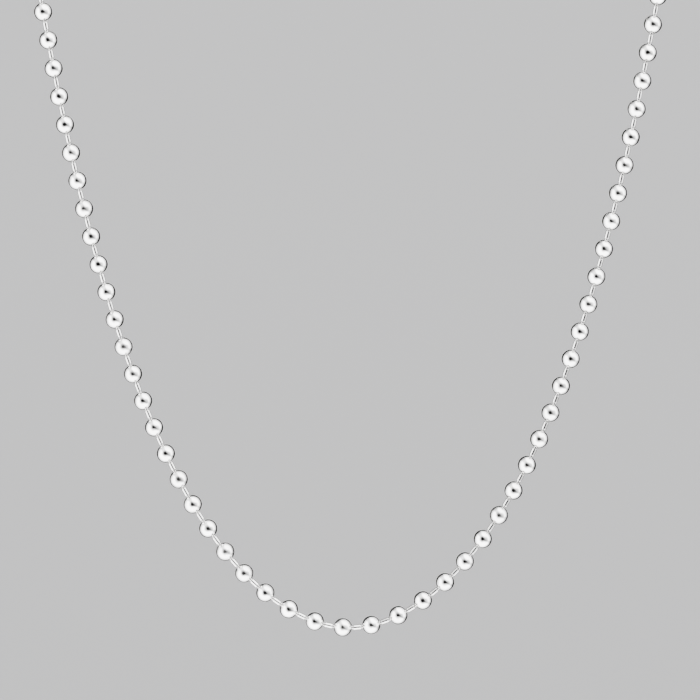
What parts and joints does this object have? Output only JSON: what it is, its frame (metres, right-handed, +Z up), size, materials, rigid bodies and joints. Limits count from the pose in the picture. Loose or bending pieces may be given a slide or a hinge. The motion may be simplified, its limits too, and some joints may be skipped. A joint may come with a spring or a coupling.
{
  "type": "ball chain necklace",
  "caption": "Silver ball chain necklace in the form it hangs when worn: hollow round beads joined by short headed bars, closed at the nape by a snap clasp.",
  "frame": {"origin": "the chain's centre line at the nape, in the middle of the back of the neck", "axes": "+Z is up, -Y is the wearer's front, and +X is to the right when the necklace is seen from the front"},
  "size_m": [0.1054, 0.0925, 0.1414],
  "materials": {
    "bead_silver": "mirror polished silver",
    "wire_silver": "bright drawn silver wire, darker at its necks",
    "clasp_silver": "polished silver sheet with fine wear"
  },
  "bodies": {
    "root": {"beads": "bead_silver", "link_bars": "wire_silver", "clasp": "clasp_silver"}
  },
  "joints": []
}
